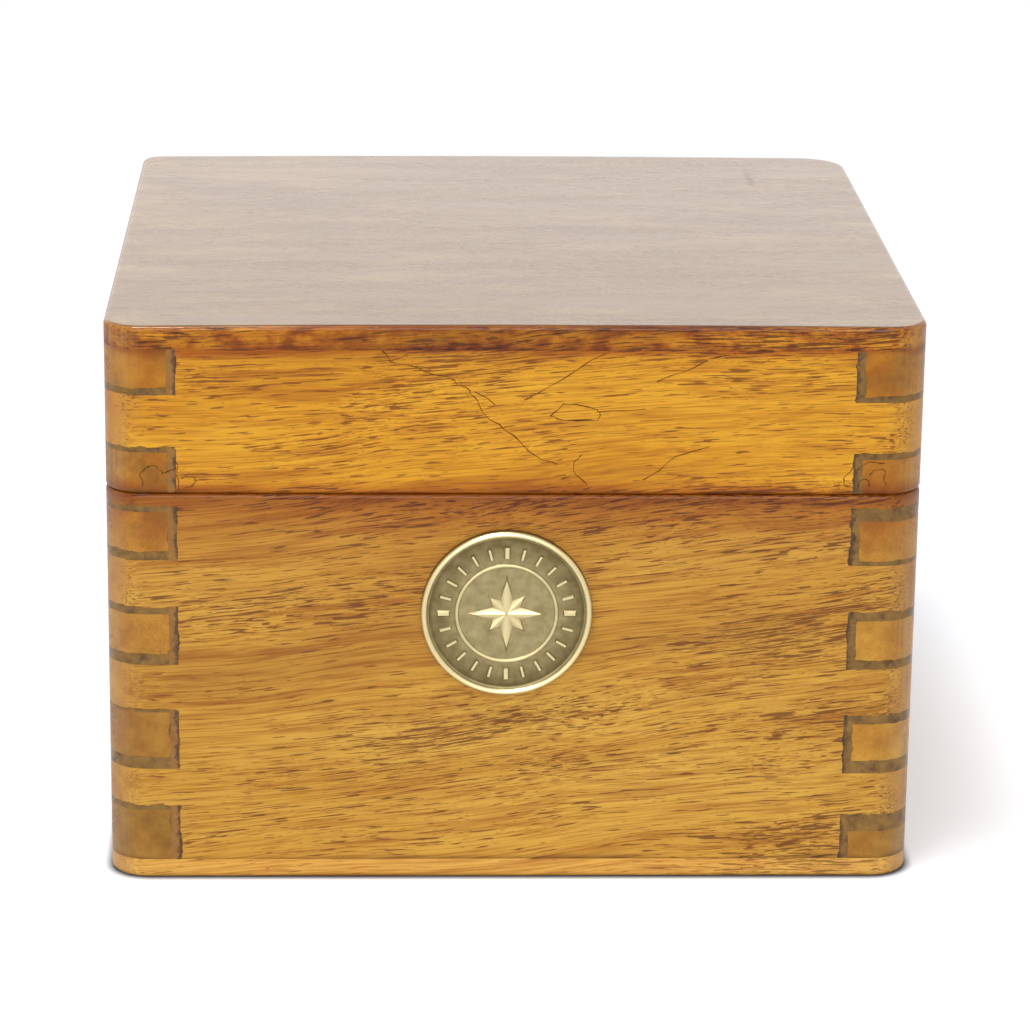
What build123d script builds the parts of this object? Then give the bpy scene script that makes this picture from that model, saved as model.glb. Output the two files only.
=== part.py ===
# Boxed gimbal compass: a square hardwood case with comb-jointed corners and a hinged lid,
# and a weighted compass bowl that hangs in a gimbal ring inside it.
# Millimetres. The origin is the middle of the underside, +Z is up and the front faces -Y.

from build123d import *
import os
from math import atan2, degrees, radians, tan

# Case
case_width = 150.0
case_depth = 150.0
base_height = 75.0
lid_height = 31.8
wall = 11.6
bottom_board_thickness = 3.7
top_board_thickness = 4.7
front_corner_radius = 7.0
back_left_corner_radius = 4.0
back_right_corner_radius = 9.0
foot_round = 1.0
rim_round = 0.8
top_edge_round = 0.9
lid_crown = 0.5
lid_crown_x = 15.0

# Comb joints: the side boards' fingers pass through slots in the front and back boards.
# Hand cut, so each finger is smaller than its slot, and wood filler closes what is left.
# Each line is the slot's foot and top above the foot of the boards, and the gap under and over its finger.
base_combs = {
    "left": [(0.0, 10.6, 0.0, 0.8), (18.0, 29.5, 2.3, 0.4), (38.4, 49.4, 1.8, 1.2), (58.6, 68.8, 1.3, 1.0)],
    "right": [(0.0, 8.7, 0.0, 3.3), (17.0, 28.4, 2.5, 1.6), (37.5, 48.6, 1.4, 1.6), (57.7, 68.5, 0.7, 2.3)],
}
lid_combs = {
    "left": [(0.0, 8.5, 0.0, 0.7), (18.6, 27.1, 1.1, 0.0)],
    "right": [(0.0, 7.6, 0.0, 0.9), (17.5, 27.1, 1.0, 0.0)],
}
shoulder_gap = 1.6

# Round medallion on the front
medallion_radius = 15.8
medallion_thickness = 1.8
medallion_rim_width = 1.1
medallion_field_depth = 0.7
medallion_edge_round = 0.6
medallion_rim_inner_round = 0.3
medallion_x = -1.4
medallion_below_rim = 22.5
star_relief = 0.45
star_long_point = 8.6
star_short_point = 5.6
star_point_half_width = 1.5
tick_ring_radius = 12.4
tick_length = 1.4
tick_width = 0.5
tick_count = 24
quarter_turn = 90.0
eighth_turn = 45.0

# Hinges: their pins lie near the back face, so that the bevelled rims meet and stop the lid.
lid_open_angle = 100.0
stop_slack_angle = 0.3
hinge_pin_inset = 2.6
hinge_from_side = 30.0
hinge_length = 32.0
leaf_width = 8.4
leaf_thickness = 1.2
knuckle_radius = 2.3
knuckle_count = 5
knuckle_gap = 0.15
knuckle_clearance = 0.25
hinge_pin_radius = 1.0
hinge_screw_count = 3
hinge_screw_spacing = 10.5
hinge_screw_inset = 5.4
hinge_screw_length = 9.0

# Countersunk wood screws
screw_head_radius = 2.0
screw_shank_radius = 1.05
screw_slot_width = 0.5
screw_slot_depth = 0.45
screw_point_length = 2.0

# Gimbal
pivot_below_rim = 19.0
ring_wall = 3.6
ring_height = 8.0
ring_edge_chamfer = 0.5
ring_boss_radius = 4.8
ring_boss_stand = 1.5
ring_to_flange = 3.0
pivot_radius = 1.6
side_gap = 0.6
bracket_length = 28.0
bracket_height = 11.0
bracket_plate = 1.6
bracket_boss_radius = 4.6
ring_to_case = 10.3
bracket_screw_spacing = 18.0
bracket_screw_length = 8.5

# Compass bowl, measured from the level of the gimbal pivots
bowl_wall = 2.0
flange_width = 5.0
flange_thickness = 3.4
rim_above_pivot = 5.0
bowl_side_depth = 20.0
bowl_depth = 31.0
bowl_foot_radius = 14.0
bowl_side_round = 8.0
glass_thickness = 2.0
gasket_thickness = 1.0
glass_seat_width = 1.6
bezel_thickness = 2.4
bezel_lip = 2.0
bezel_chamfer = 1.0
bezel_screw_count = 6
bezel_screw_length = 5.0
bezel_screw_radius = 0.8
bezel_screw_head_radius = 1.5
bowl_boss_radius = 4.2
bowl_screw_head_radius = 3.2
bowl_screw_head_thickness = 1.6
weight_radius = 15.0
weight_thickness = 5.0
weight_edge_chamfer = 1.0
weight_screw_radius = 1.5
weight_screw_head_radius = 3.0
weight_screw_head_thickness = 1.5
weight_screw_length = 12.0

# Compass card and what carries it
card_to_wall = 3.0
card_below_pivot = 3.0
card_thickness = 0.5
cap_radius = 4.0
cap_height = 4.6
cap_top_round = 1.5
cup_radius = 2.0
cup_depth = 3.4
cap_flange_radius = 6.0
cap_flange_thickness = 0.6
needle_radius = 0.9
needle_taper = 3.6
pedestal_foot_radius = 8.0
pedestal_foot_thickness = 2.0
pedestal_radius = 2.6
needle_seat_depth = 6.0
needle_bare_length = 3.0
magnet_length = 40.0
magnet_width = 2.6
magnet_spacing = 18.0
lubber_width = 1.0
lubber_length = 7.0
lubber_thickness = 0.6

# Clearances, and how far a cut runs past the face that it opens
running_clearance = 0.05
fixed_clearance = 0.02
cut_margin = 1.0

# Places worked out from the sizes above
seam = base_height
case_height = base_height + lid_height
half_width = case_width / 2
half_depth = case_depth / 2
inner_half_width = half_width - wall
crown_radius = (half_width + abs(lid_crown_x)) ** 2 / (2 * lid_crown)
pin_y = half_depth - hinge_pin_inset
pivot_z = base_height - pivot_below_rim
ring_boss_face = min(inner_half_width, half_depth - wall) - ring_to_case
bracket_boss_length = inner_half_width - side_gap - ring_boss_face
ring_radius = ring_boss_face - ring_boss_stand
ring_inner_radius = ring_radius - ring_wall
flange_radius = ring_inner_radius - ring_to_flange
bowl_radius = flange_radius - flange_width
bowl_inner_radius = bowl_radius - bowl_wall
card_radius = bowl_inner_radius - card_to_wall
bowl_rim_z = pivot_z + rim_above_pivot
glass_radius = bowl_inner_radius + glass_seat_width
glass_seat_z = bowl_rim_z - glass_thickness - gasket_thickness
bezel_opening_radius = bowl_inner_radius - bezel_lip
bowl_floor_z = pivot_z - bowl_depth + bowl_wall
card_z = pivot_z - card_below_pivot

os.makedirs("parts", exist_ok=True)


def save(piece, name):
    """Label a finished piece and write it as its own file."""
    piece.part.label = name
    export_step(piece.part, f"parts/{name}.step")


def bar(x_low, x_high, z_low, z_high, mode=Mode.ADD):
    """Rectangle between two corners of the current sketch."""
    with Locations(((x_low + x_high) / 2, (z_low + z_high) / 2)):
        Rectangle(x_high - x_low, z_high - z_low, mode=mode)


def case_block(low, high, low_round, high_round, bevel_side, crowned=False):
    """Outer form of the lid or the base, hand-rounded, with the stop bevel along the back of its rim.
    The lid's top is crowned: hand planing left it slightly curved across."""
    with BuildPart() as block:
        with BuildSketch(Plane.XY.offset(low)) as plan:
            Rectangle(case_width, case_depth)
            fillet(plan.vertices().group_by(Axis.Y)[0], front_corner_radius)
            fillet(plan.vertices().group_by(Axis.Y)[-1].sort_by(Axis.X)[0], back_left_corner_radius)
            fillet(plan.vertices().group_by(Axis.Y)[-1].sort_by(Axis.X)[-1], back_right_corner_radius)
        extrude(amount=high - low)
        if crowned:
            with Locations(Location((lid_crown_x, 0, high - crown_radius), (quarter_turn, 0, 0))):
                Cylinder(crown_radius, case_depth + cut_margin, mode=Mode.INTERSECT)
        fillet(block.faces().sort_by(Axis.Z)[-1].edges(), high_round)
        fillet(block.faces().sort_by(Axis.Z)[0].edges(), low_round)
        reach = hinge_pin_inset + cut_margin
        drop = bevel_side * reach * tan(radians((lid_open_angle + stop_slack_angle) / 2))
        with BuildSketch(Plane.YZ.offset(-half_width)):
            with BuildLine():
                Polyline((pin_y, seam), (pin_y + reach, seam), (pin_y + reach, seam + drop), close=True)
            make_face()
        extrude(amount=case_width, mode=Mode.SUBTRACT)
    return block.part


base_block = case_block(0, base_height, foot_round, rim_round, -1)
lid_block = case_block(seam, case_height, rim_round, top_edge_round, 1, crowned=True)
base_walls = (bottom_board_thickness, base_height)
lid_walls = (seam, case_height - top_board_thickness)
sides = {"left": -1, "right": 1}
ends = {"front": half_depth - wall, "back": -half_depth}
hinge_places = {"left": hinge_from_side - half_width, "right": half_width - hinge_from_side}
hinge_screw_y = pin_y - hinge_screw_inset
bracket_screw_y = [-bracket_screw_spacing / 2, bracket_screw_spacing / 2]


def slot_bar(side, foot, comb, mode=Mode.ADD):
    """The slot that a side board's finger passes through, at one end of a front or back board."""
    inner = inner_half_width - shoulder_gap
    low, high = (inner, half_width) if sides[side] > 0 else (-half_width, -inner)
    bar(low, high, foot + comb[0], foot + comb[1], mode)


def finger_bar(side, foot, comb, mode=Mode.ADD):
    """The end of a side board's finger, as it shows in its slot."""
    low, high = (inner_half_width, half_width) if sides[side] > 0 else (-half_width, -inner_half_width)
    bar(low, high, foot + comb[0] + comb[2], foot + comb[1] - comb[3], mode)


def cross_board(end, walls, combs, block, cuts=None):
    """Front or back board: full width, slotted at both ends for the side boards' fingers."""
    with BuildPart() as board:
        with BuildSketch(Plane.XZ.offset(ends[end])):
            bar(-half_width, half_width, *walls)
            for side in sides:
                for comb in combs[side]:
                    slot_bar(side, walls[0], comb, Mode.SUBTRACT)
        extrude(amount=wall)
        add(block, mode=Mode.INTERSECT)
        if cuts:
            add(cuts, mode=Mode.SUBTRACT)
    return board


def side_board(side, walls, combs, block, cuts=None):
    """Left or right board, with a finger at both ends for each slot."""
    with BuildPart() as board:
        with BuildSketch(Plane.YZ.offset(inner_half_width if sides[side] > 0 else -half_width)):
            bar(wall - half_depth, half_depth - wall, *walls)
            for comb in combs[side]:
                bar(-half_depth, half_depth, walls[0] + comb[0] + comb[2], walls[0] + comb[1] - comb[3])
            bar(-half_depth, half_depth, *walls, Mode.INTERSECT)
        extrude(amount=wall)
        add(block, mode=Mode.INTERSECT)
        if cuts:
            add(cuts, mode=Mode.SUBTRACT)
    return board


def joint_filler(walls, combs, block):
    """Wood filler round every finger of the four corners."""
    with BuildPart() as filler:
        for end in ends.values():
            with BuildSketch(Plane.XZ.offset(end)):
                for side in sides:
                    for comb in combs[side]:
                        slot_bar(side, walls[0], comb)
                for side in sides:
                    for comb in combs[side]:
                        finger_bar(side, walls[0], comb, Mode.SUBTRACT)
                bar(-half_width, half_width, *walls, Mode.INTERSECT)
            extrude(amount=wall)
        add(block, mode=Mode.INTERSECT)
    return filler


def flat_board(low, high, block):
    """Board that closes the case over the whole of its outline, and takes its edges from the block."""
    with BuildPart() as board:
        with BuildSketch(Plane.XY.offset(low)):
            Rectangle(case_width, case_depth)
        extrude(amount=high - low)
        add(block, mode=Mode.INTERSECT)
    return board


def countersunk_form(length, head_radius, shank_radius, point=0.0):
    """A countersunk head on a shank, its flat face at the origin and its end down -Z."""
    with BuildPart() as form:
        with BuildSketch(Plane.XZ):
            with BuildLine():
                outline = [(0, 0), (head_radius, 0), (shank_radius, shank_radius - head_radius)]
                outline += [(shank_radius, point - length), (0, -length)]
                Polyline(*outline, close=True)
            make_face()
        revolve(axis=Axis.Z)
    return form.part


def countersunk_screw(length, head_radius, shank_radius, point):
    """Slotted countersunk screw."""
    form = countersunk_form(length, head_radius, shank_radius, point)
    with BuildPart() as screw:
        add(form)
        with BuildSketch(Plane.XY):
            Rectangle(2 * head_radius, screw_slot_width)
        extrude(amount=-screw_slot_depth, mode=Mode.SUBTRACT)
    return screw.part


def countersunk_hole(length, head_radius, shank_radius):
    """What such a screw's hole takes away."""
    return countersunk_form(length + fixed_clearance, head_radius, shank_radius + fixed_clearance)


wood_screw_radii = (screw_head_radius, screw_shank_radius)
wood_screw = countersunk_screw(hinge_screw_length, *wood_screw_radii, screw_point_length)
wood_screw_hole = countersunk_hole(hinge_screw_length, *wood_screw_radii)
bracket_screw = countersunk_screw(bracket_screw_length, *wood_screw_radii, screw_point_length)
bracket_screw_hole = countersunk_hole(bracket_screw_length, *wood_screw_radii)


def hinge_screw_places(hinge, side):
    """Where the screws of one leaf stand. Side -1 is the base's leaf and 1 the lid's."""
    first = hinge_places[hinge] - hinge_screw_spacing * (hinge_screw_count - 1) / 2
    turn = 0 if side < 0 else 2 * quarter_turn
    xs = [first + n * hinge_screw_spacing for n in range(hinge_screw_count)]
    return [Location((x, hinge_screw_y, seam), (turn, 0, 0)) for x in xs]


def knuckle_round(x, radius, length, mode):
    """Cylinder on the hinge axis, from x on."""
    with Locations(Location((x, pin_y, seam), (0, quarter_turn, 0))):
        Cylinder(radius, length, align=(Align.CENTER, Align.CENTER, Align.MIN), mode=mode)


def hinge_beds(side):
    """What both hinges take out of the rim of a back board: beds, knuckle grooves and pilot holes."""
    with BuildPart() as beds:
        for hinge, x in hinge_places.items():
            with BuildSketch(Plane.XY.offset(seam)):
                with Locations((x, pin_y - leaf_width / 2)):
                    Rectangle(hinge_length, leaf_width)
            extrude(amount=side * leaf_thickness)
            groove_start = x - hinge_length / 2 - knuckle_clearance
            groove_length = hinge_length + 2 * knuckle_clearance
            knuckle_round(groove_start, knuckle_radius + knuckle_clearance, groove_length, Mode.ADD)
            with Locations(*hinge_screw_places(hinge, side)):
                add(wood_screw_hole)
    return beds.part


def bracket_screw_places(side):
    """Where the screws of one gimbal bracket stand, on the face of its plate."""
    x = sides[side] * (inner_half_width - bracket_plate)
    return [Location((x, y, pivot_z), (0, -sides[side] * quarter_turn, 0)) for y in bracket_screw_y]


def bracket_pilots(side):
    """What the screws of one gimbal bracket take out of its plate and the board behind it."""
    with BuildPart() as pilots:
        with Locations(*bracket_screw_places(side)):
            add(bracket_screw_hole)
    return pilots.part


# Base of the case
save(flat_board(0, bottom_board_thickness, base_block), "base_bottom_board")
save(cross_board("front", base_walls, base_combs, base_block), "base_front_board")
save(cross_board("back", base_walls, base_combs, base_block, hinge_beds(-1)), "base_back_board")
for side in sides:
    save(side_board(side, base_walls, base_combs, base_block, bracket_pilots(side)), f"base_{side}_board")
save(joint_filler(base_walls, base_combs, base_block), "base_joint_filler")

# Lid of the case
save(flat_board(case_height - top_board_thickness, case_height + cut_margin, lid_block), "lid_top_board")
save(cross_board("front", lid_walls, lid_combs, lid_block), "lid_front_board")
save(cross_board("back", lid_walls, lid_combs, lid_block, hinge_beds(1)), "lid_back_board")
for side in sides:
    save(side_board(side, lid_walls, lid_combs, lid_block), f"lid_{side}_board")
save(joint_filler(lid_walls, lid_combs, lid_block), "lid_joint_filler")

# Medallion: a struck disc with a raised rim, a star and a ring of ticks, glued to the front board
front_face = Plane.XZ.offset(half_depth)
medallion_place = (medallion_x, seam - medallion_below_rim)
field_plane = Plane.XZ.offset(half_depth + medallion_thickness - medallion_field_depth)
with BuildPart() as medallion:
    with BuildSketch(front_face):
        with Locations(medallion_place):
            Circle(medallion_radius)
    extrude(amount=medallion_thickness)
    fillet(medallion.faces().sort_by(Axis.Y)[0].edges(), medallion_edge_round)
    with BuildSketch(field_plane):
        with Locations(medallion_place):
            Circle(medallion_radius - medallion_rim_width)
    extrude(amount=medallion_field_depth, mode=Mode.SUBTRACT)
    fillet(medallion.faces().sort_by(Axis.Y)[0].inner_wires()[0].edges(), medallion_rim_inner_round)
    with BuildSketch(field_plane):
        with Locations(medallion_place):
            for point, start in ((star_short_point, eighth_turn), (star_long_point, 0)):
                with PolarLocations(0, 4, start_angle=start):
                    Polygon(
                        (0, 0),
                        (star_point_half_width, star_point_half_width),
                        (point, 0),
                        (star_point_half_width, -star_point_half_width),
                        align=None,
                    )
            with PolarLocations(tick_ring_radius, tick_count):
                Rectangle(tick_length, tick_width)
    extrude(amount=star_relief)
save(medallion, "front_medallion")


def hinge_leaf(hinge, side):
    """One leaf, let into a rim. Side -1 is the base's, with the end knuckles, and 1 the lid's."""
    x = hinge_places[hinge]
    pitch = hinge_length / knuckle_count
    own = 0 if side < 0 else 1
    with BuildPart() as leaf:
        with BuildSketch(Plane.XY.offset(seam)):
            with Locations((x, pin_y - leaf_width / 2)):
                Rectangle(hinge_length, leaf_width)
        extrude(amount=side * leaf_thickness)
        for n in range(knuckle_count):
            start = x - hinge_length / 2 + n * pitch
            if n % 2 == own:
                knuckle_round(start + knuckle_gap / 2, knuckle_radius, pitch - knuckle_gap, Mode.ADD)
            else:
                knuckle_round(start, knuckle_radius + knuckle_clearance, pitch, Mode.SUBTRACT)
        bore_radius = hinge_pin_radius + running_clearance
        knuckle_round(x - hinge_length / 2, bore_radius, hinge_length, Mode.SUBTRACT)
        with Locations(*hinge_screw_places(hinge, side)):
            add(wood_screw_hole, mode=Mode.SUBTRACT)
    return leaf


def hinge_screws(side):
    """All the screws of the base's leaves, side -1, or the lid's, side 1."""
    with BuildPart() as screws:
        for hinge in hinge_places:
            with Locations(*hinge_screw_places(hinge, side)):
                add(wood_screw)
    return screws


# Hinges
for hinge, x in hinge_places.items():
    save(hinge_leaf(hinge, -1), f"{hinge}_hinge_base_leaf")
    save(hinge_leaf(hinge, 1), f"{hinge}_hinge_lid_leaf")
    with BuildPart() as pin:
        knuckle_round(x - hinge_length / 2, hinge_pin_radius, hinge_length, Mode.ADD)
    save(pin, f"{hinge}_hinge_pin")
save(hinge_screws(-1), "base_hinge_screws")
save(hinge_screws(1), "lid_hinge_screws")

# Gimbal brackets, screwed to the side boards, each with a bored boss for one of the ring's pivots
for side, sign in sides.items():
    inward = Plane((sign * inner_half_width, 0, pivot_z), x_dir=(0, 1, 0), z_dir=(-sign, 0, 0))
    with BuildPart() as bracket:
        with BuildSketch(inward):
            SlotOverall(bracket_length, bracket_height)
        extrude(amount=bracket_plate)
        with BuildSketch(inward):
            Circle(bracket_boss_radius)
        extrude(amount=bracket_boss_length)
        with BuildSketch(inward.offset(bracket_plate)):
            Circle(pivot_radius + running_clearance)
        extrude(amount=bracket_boss_length - bracket_plate, mode=Mode.SUBTRACT)
        with Locations(*bracket_screw_places(side)):
            add(bracket_screw_hole, mode=Mode.SUBTRACT)
    save(bracket, f"{side}_gimbal_bracket")

with BuildPart() as bracket_screws:
    for side in sides:
        with Locations(*bracket_screw_places(side)):
            add(bracket_screw)
save(bracket_screws, "gimbal_bracket_screws")

# Gimbal ring, with a boss at each quarter
with BuildPart() as gimbal_ring:
    with BuildSketch(Plane.XY.offset(pivot_z - ring_height / 2)):
        Circle(ring_radius)
        Circle(ring_inner_radius, mode=Mode.SUBTRACT)
    extrude(amount=ring_height)
    chamfer(gimbal_ring.edges(), ring_edge_chamfer)
    for axis_plane in (Plane.YZ, Plane.XZ):
        for sign in (-1, 1):
            boss_plane = Plane((0, 0, pivot_z), x_dir=axis_plane.x_dir, z_dir=axis_plane.z_dir)
            with BuildSketch(boss_plane.offset(sign * ring_inner_radius)):
                Circle(ring_boss_radius)
            extrude(amount=sign * (ring_boss_face - ring_inner_radius))
    with BuildSketch(Plane((-ring_boss_face, 0, pivot_z), x_dir=(0, 1, 0), z_dir=(1, 0, 0))):
        Circle(pivot_radius + fixed_clearance)
    extrude(amount=2 * ring_boss_face, mode=Mode.SUBTRACT)
    with BuildSketch(Plane((0, -ring_boss_face, pivot_z), x_dir=(1, 0, 0), z_dir=(0, 1, 0))):
        Circle(pivot_radius + running_clearance)
    extrude(amount=2 * ring_boss_face, mode=Mode.SUBTRACT)
save(gimbal_ring, "gimbal_ring")

# Pins pressed into the ring, which turn in the brackets
with BuildPart() as ring_pivots:
    for sign in (-1, 1):
        with BuildSketch(Plane((sign * ring_inner_radius, 0, pivot_z), x_dir=(0, 1, 0), z_dir=(sign, 0, 0))):
            Circle(pivot_radius)
        extrude(amount=inner_half_width - bracket_plate - side_gap - ring_inner_radius)
save(ring_pivots, "gimbal_ring_pivots")

# Bowl: a spun brass shell with a flange, a seat for the glass and a boss at each side
bowl_side_z = pivot_z - bowl_side_depth
bowl_bottom_z = pivot_z - bowl_depth
bowl_boss_face = ring_inner_radius - side_gap
bezel_screw_circle = (glass_radius + flange_radius) / 2

# The two arcs of its profile meet smoothly, which fixes the radius and the sweep of the wide one.
arc_reach = bowl_radius - bowl_foot_radius
arc_rise = bowl_side_z - bowl_bottom_z
arc_square = arc_reach**2 + arc_rise**2
bowl_wide_round = (arc_square / 2 - arc_reach * bowl_side_round) / (arc_rise - bowl_side_round)
bowl_wide_angle = degrees(atan2(arc_reach - bowl_side_round, bowl_wide_round - arc_rise))


def bowl_curve(inset):
    """Half profile of the bowl inset from its outside: a flat foot, a wide arc and a close one."""
    floor = Line((0, bowl_bottom_z + inset), (bowl_foot_radius, bowl_bottom_z + inset))
    wide = JernArc(floor @ 1, floor % 1, bowl_wide_round - inset, bowl_wide_angle)
    JernArc(wide @ 1, wide % 1, bowl_side_round - inset, quarter_turn - bowl_wide_angle)


with BuildPart() as bowl:
    with BuildSketch(Plane.XZ):
        with BuildLine():
            bowl_curve(0)
            Polyline(
                (bowl_radius, bowl_side_z),
                (bowl_radius, bowl_rim_z - flange_thickness),
                (flange_radius, bowl_rim_z - flange_thickness),
                (flange_radius, bowl_rim_z),
                (0, bowl_rim_z),
                (0, bowl_bottom_z),
            )
        make_face()
    revolve(axis=Axis.Z)
    for sign in (-1, 1):
        with BuildSketch(Plane((0, 0, pivot_z), x_dir=(1, 0, 0), z_dir=(0, sign, 0))):
            Circle(bowl_boss_radius)
        extrude(amount=bowl_boss_face)
    with BuildSketch(Plane.XZ):
        with BuildLine():
            bowl_curve(bowl_wall)
            Polyline(
                (bowl_inner_radius, bowl_side_z),
                (bowl_inner_radius, glass_seat_z),
                (glass_radius, glass_seat_z),
                (glass_radius, bowl_rim_z),
                (0, bowl_rim_z),
                (0, bowl_floor_z),
            )
        make_face()
    revolve(axis=Axis.Z, mode=Mode.SUBTRACT)
    for sign in (-1, 1):
        with BuildSketch(Plane((0, sign * bowl_boss_face, pivot_z), x_dir=(1, 0, 0), z_dir=(0, -sign, 0))):
            Circle(pivot_radius + fixed_clearance)
        extrude(amount=bowl_boss_face - bowl_radius, mode=Mode.SUBTRACT)
    with BuildSketch(Plane.XY.offset(bowl_bottom_z)):
        Circle(weight_screw_radius + fixed_clearance)
    extrude(amount=bowl_wall, mode=Mode.SUBTRACT)
    with BuildSketch(Plane.XY.offset(bowl_rim_z)):
        with PolarLocations(bezel_screw_circle, bezel_screw_count):
            Circle(bezel_screw_radius + fixed_clearance)
    extrude(amount=bezel_thickness - bezel_screw_length - fixed_clearance, mode=Mode.SUBTRACT)
save(bowl, "compass_bowl")

# Shouldered screws that join the ring to the bowl's bosses, and turn in the ring
with BuildPart() as bowl_pivot_screws:
    for sign in (-1, 1):
        face = Plane((0, sign * bowl_radius, pivot_z), x_dir=(1, 0, 0), z_dir=(0, sign, 0))
        head_plane = face.offset(ring_boss_face + running_clearance - bowl_radius)
        with BuildSketch(face):
            Circle(pivot_radius)
        extrude(amount=ring_boss_face + running_clearance - bowl_radius)
        with BuildSketch(head_plane):
            Circle(bowl_screw_head_radius)
        extrude(amount=bowl_screw_head_thickness)
        with BuildSketch(head_plane.offset(bowl_screw_head_thickness)):
            Rectangle(2 * bowl_screw_head_radius, screw_slot_width)
        extrude(amount=-screw_slot_depth, mode=Mode.SUBTRACT)
save(bowl_pivot_screws, "bowl_pivot_screws")

# Gasket and glass, seated in the bowl's rim
with BuildPart() as glass_gasket:
    with BuildSketch(Plane.XY.offset(glass_seat_z)):
        Circle(glass_radius)
        Circle(bowl_inner_radius, mode=Mode.SUBTRACT)
    extrude(amount=gasket_thickness)
save(glass_gasket, "glass_gasket")

with BuildPart() as bowl_glass:
    with BuildSketch(Plane.XY.offset(glass_seat_z + gasket_thickness)):
        Circle(glass_radius)
    extrude(amount=glass_thickness)
save(bowl_glass, "bowl_glass")

# Bezel, held down on the flange by small screws
bezel_top = Plane.XY.offset(bowl_rim_z + bezel_thickness)
bezel_screw = countersunk_screw(bezel_screw_length, bezel_screw_head_radius, bezel_screw_radius, 0)
bezel_screw_hole = countersunk_hole(bezel_screw_length, bezel_screw_head_radius, bezel_screw_radius)
with BuildPart() as bezel:
    with BuildSketch(Plane.XY.offset(bowl_rim_z)):
        Circle(flange_radius)
        Circle(bezel_opening_radius, mode=Mode.SUBTRACT)
    extrude(amount=bezel_thickness)
    chamfer(bezel.faces().sort_by(Axis.Z)[-1].edges(), bezel_chamfer)
    with Locations(bezel_top):
        with PolarLocations(bezel_screw_circle, bezel_screw_count):
            add(bezel_screw_hole, mode=Mode.SUBTRACT)
save(bezel, "bowl_bezel")

with BuildPart() as bezel_screws:
    with Locations(bezel_top):
        with PolarLocations(bezel_screw_circle, bezel_screw_count):
            add(bezel_screw)
save(bezel_screws, "bezel_screws")

# Weight under the bowl, which brings it back level, and its screw
with BuildPart() as weight:
    with BuildSketch(Plane.XY.offset(bowl_bottom_z)):
        Circle(weight_radius)
        Circle(weight_screw_radius + fixed_clearance, mode=Mode.SUBTRACT)
    extrude(amount=-weight_thickness)
    chamfer(weight.faces().sort_by(Axis.Z)[0].edges().sort_by(SortBy.RADIUS)[-1], weight_edge_chamfer)
save(weight, "bowl_weight")

with BuildPart() as weight_screw:
    with BuildSketch(Plane.XY.offset(bowl_bottom_z - weight_thickness)):
        Circle(weight_screw_radius)
    extrude(amount=weight_screw_length)
    with BuildSketch(Plane.XY.offset(bowl_bottom_z - weight_thickness)):
        Circle(weight_screw_head_radius)
    extrude(amount=-weight_screw_head_thickness)
    with BuildSketch(Plane.XY.offset(bowl_bottom_z - weight_thickness - weight_screw_head_thickness)):
        Rectangle(2 * weight_screw_head_radius, screw_slot_width)
    extrude(amount=screw_slot_depth, mode=Mode.SUBTRACT)
save(weight_screw, "weight_screw")

# Pedestal and needle that the card turns on; the weight's screw holds the pedestal down as well
weight_screw_reach = weight_screw_length - weight_thickness - bowl_wall + fixed_clearance
tip_z = card_z - card_thickness - cap_flange_thickness + cup_depth - running_clearance
needle_foot_z = tip_z - needle_taper - needle_bare_length - needle_seat_depth
pedestal_top_z = needle_foot_z + needle_seat_depth
with BuildPart() as pedestal:
    with BuildSketch(Plane.XY.offset(bowl_floor_z)):
        Circle(pedestal_foot_radius)
    extrude(amount=pedestal_foot_thickness)
    with BuildSketch(Plane.XY.offset(bowl_floor_z)):
        Circle(pedestal_radius)
    extrude(amount=pedestal_top_z - bowl_floor_z)
    with BuildSketch(Plane.XY.offset(bowl_floor_z)):
        Circle(weight_screw_radius + fixed_clearance)
    extrude(amount=weight_screw_reach, mode=Mode.SUBTRACT)
    with BuildSketch(Plane.XY.offset(pedestal_top_z)):
        Circle(needle_radius + fixed_clearance)
    extrude(amount=-needle_seat_depth, mode=Mode.SUBTRACT)
save(pedestal, "card_pedestal")

with BuildPart() as needle:
    with BuildSketch(Plane.XZ):
        with BuildLine():
            Polyline(
                (0, needle_foot_z),
                (needle_radius, needle_foot_z),
                (needle_radius, tip_z - needle_taper),
                (0, tip_z),
                close=True,
            )
        make_face()
    revolve(axis=Axis.Z)
save(needle, "pivot_needle")

# Card, with its bearing cap and two bar magnets
with BuildPart() as card:
    with BuildSketch(Plane.XY.offset(card_z)):
        Circle(card_radius)
        Circle(cap_radius + fixed_clearance, mode=Mode.SUBTRACT)
    extrude(amount=-card_thickness)
save(card, "compass_card")

cap_foot_z = card_z - card_thickness - cap_flange_thickness
with BuildPart() as cap:
    with BuildSketch(Plane.XY.offset(cap_foot_z)):
        Circle(cap_flange_radius)
    extrude(amount=cap_flange_thickness)
    with BuildSketch(Plane.XY.offset(cap_foot_z)):
        Circle(cap_radius)
    extrude(amount=cap_height)
    fillet(cap.faces().sort_by(Axis.Z)[-1].edges(), cap_top_round)
    with BuildSketch(Plane.XZ):
        with BuildLine():
            Polyline((0, cap_foot_z), (cup_radius, cap_foot_z), (0, cap_foot_z + cup_depth), close=True)
        make_face()
    revolve(axis=Axis.Z, mode=Mode.SUBTRACT)
save(cap, "card_cap")

with BuildPart() as magnets:
    with BuildSketch(Plane.XY.offset(card_z - card_thickness)):
        with Locations((-magnet_spacing / 2, 0), (magnet_spacing / 2, 0)):
            Rectangle(magnet_width, magnet_length)
    extrude(amount=-magnet_width)
save(magnets, "card_magnets")

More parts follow.
